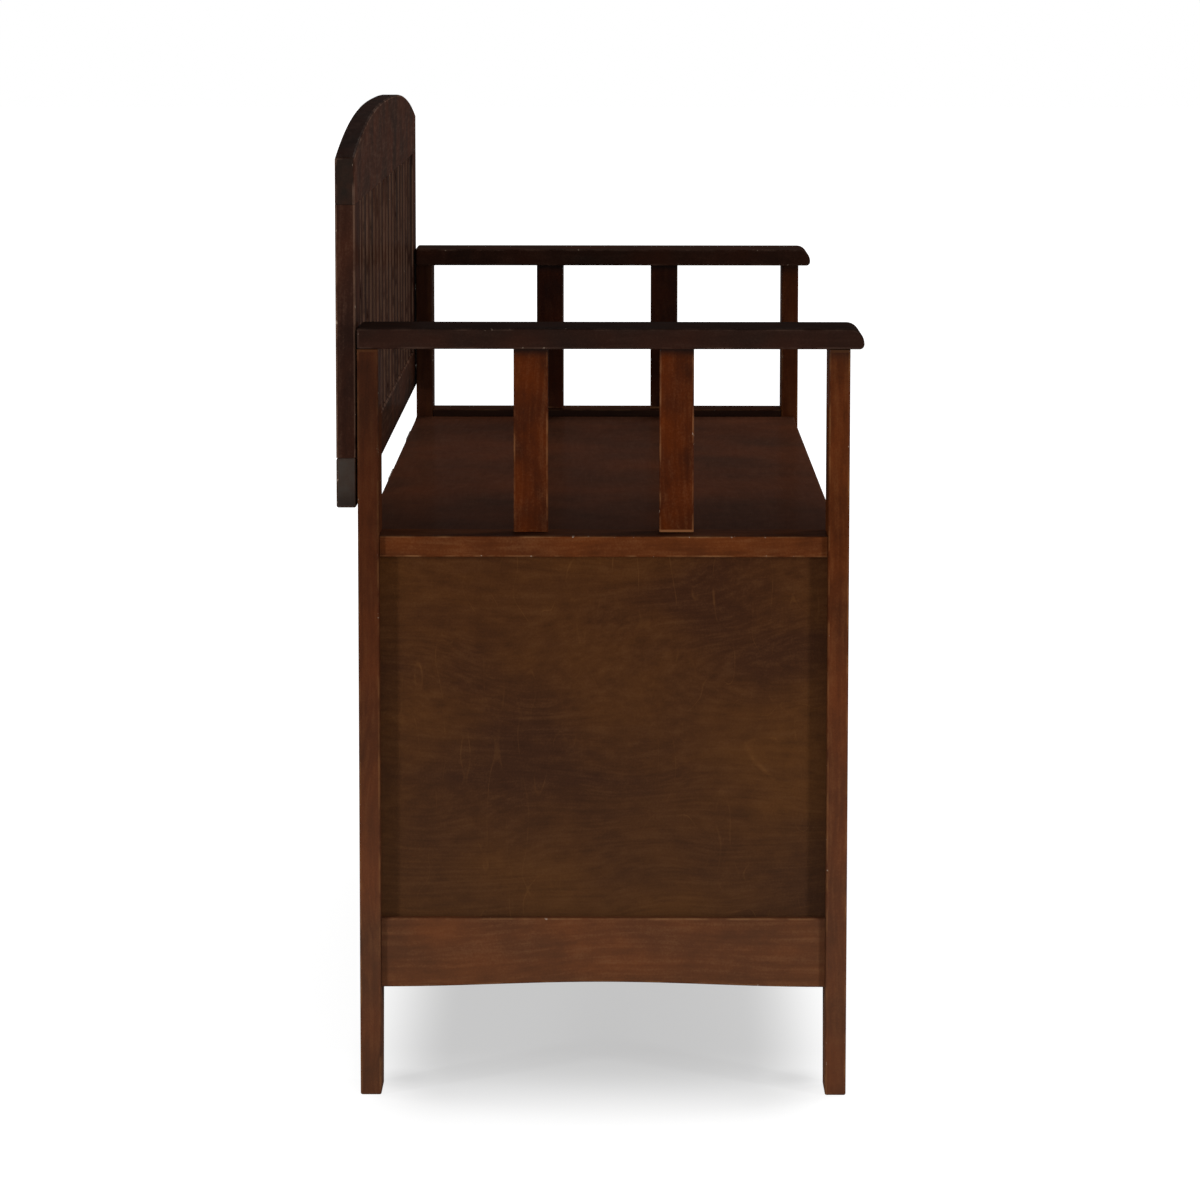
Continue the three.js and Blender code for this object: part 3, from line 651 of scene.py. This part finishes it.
# Studio. A pale floor that runs out to white, with a painted shadow, over its faint real one, under
# the bench and by its feet; three small lamps in front of the left end, three wide ones over the front,
# the right end and the rear; and a camera with a long lens that faces the left end.
def directly_seen(tree):
    """1 where the camera sees a surface, straight or in another one, and 0 where it lights others."""
    camera_ray, glossy_ray, through_ray = (Socket.of(tree, "LightPath", {}, {}, output=i) for i in (0, 3, 6))
    return camera_ray.math("MAXIMUM", glossy_ray.math("MAXIMUM", through_ray))


def outside(tree, at, patch):
    """How far a place on the floor lies outside a patch and its mirror images, in its fades."""
    total = 0.0
    for axis, centre, half, fade in patch:
        place = Socket.of(tree, "SeparateXYZ", {}, {"Vector": at}, output=axis)
        past = (place.math("ABSOLUTE") - centre).math("ABSOLUTE") - half
        past = past.math("MAXIMUM", 0) / fade
        total = past * past + total
    return total ** 0.5


bpy.ops.mesh.primitive_plane_add(size=60, location=(0, 0, 0))
floor = bpy.context.object
floor.name = "floor"
floor_paint = bpy.data.materials.new("floor_paint")
floor_paint.use_nodes = True
tree = floor_paint.node_tree
shader = tree.nodes["Principled BSDF"]
shader.inputs["Roughness"].default_value = 0.9
shader.inputs["Specular IOR Level"].default_value = 0.0
shader.inputs["Emission Strength"].default_value = 1.0
at = place_on(tree)
# Painted shadow: the floor's glow drops under the bench and by its feet.
off_bench = outside(tree, at, ((0, 0, 0.50, 0.29), (1, 0, 0.125, 0.10)))
off_feet = outside(tree, at, ((0, 0.572, 0, 0.052), (1, 0.168, 0, 0.034)))
seen = directly_seen(tree)
glow = span(tree, off_bench, 0.0, 1.0, 0.53, 0.93, kind="SMOOTHSTEP")
glow = glow + span(tree, off_bench, 1.0, 12.0, 0.0, 0.3)
glow = seen * glow * span(tree, off_feet, 0.0, 1.0, 0.86, 1.0, kind="SMOOTHSTEP")
pale = mixed(tree, seen, (0.82, 0.82, 0.82), (0.2, 0.2, 0.2))
tree.links.new(pale.end, shader.inputs["Base Color"])
tree.links.new(glow.end, shader.inputs["Emission Color"])
floor.data.materials.append(floor_paint)

world = bpy.data.worlds.new("studio")
bpy.context.scene.world = world
world.use_nodes = True
tree = world.node_tree
background = tree.nodes["Background"]
strength = span(tree, directly_seen(tree), 0, 1, 0.08, 1.0)
background.inputs["Color"].default_value = (1, 1, 1, 1)
tree.links.new(strength.end, background.inputs["Strength"])

lamps_face = Vector((-0.3, 0, 0.4))
for name, place, power, size in (
    ("front_lamp", (-1.9, 0.0, 0.95), 4.0, 0.4),
    ("left_lamp", (-1.3, 1.02, 0.5), 5.0, 0.12),
    ("right_lamp", (-1.3, -1.02, 0.5), 5.0, 0.12),
    ("seat_lamp", (0.8, -1.9, 2.0), 27, 1.2),
    ("far_lamp", (2.4, -0.3, 2.2), 24, 1.2),
    ("rear_lamp", (0.6, 2.6, 1.2), 22, 1.2),
):
    bpy.ops.object.light_add(type="AREA", location=place)
    lamp = bpy.context.object
    lamp.name = name
    lamp.data.energy = power
    lamp.data.size = size
    lamp.rotation_euler = (lamps_face - Vector(place)).to_track_quat("-Z", "Y").to_euler()
    lamp.visible_camera = False

pitch, yaw, roll = 0.124264, 0.003665, 0.000743
ahead = Vector((math.cos(pitch) * math.cos(yaw), math.cos(pitch) * math.sin(yaw), -math.sin(pitch)))
level_right = ahead.cross(Vector((0, 0, 1))).normalized()
level_up = level_right.cross(ahead)
right = math.cos(roll) * level_right + math.sin(roll) * level_up
up = math.cos(roll) * level_up - math.sin(roll) * level_right
bpy.ops.object.camera_add(location=(-4.758672, -0.015557, 0.932244))
camera = bpy.context.object
camera.rotation_euler = Matrix((right, up, -ahead)).transposed().to_euler()
camera.data.lens = 150.949
camera.data.sensor_width = 36
bpy.context.scene.camera = camera
bpy.context.scene.view_settings.view_transform = "Standard"

bpy.context.view_layer.update()
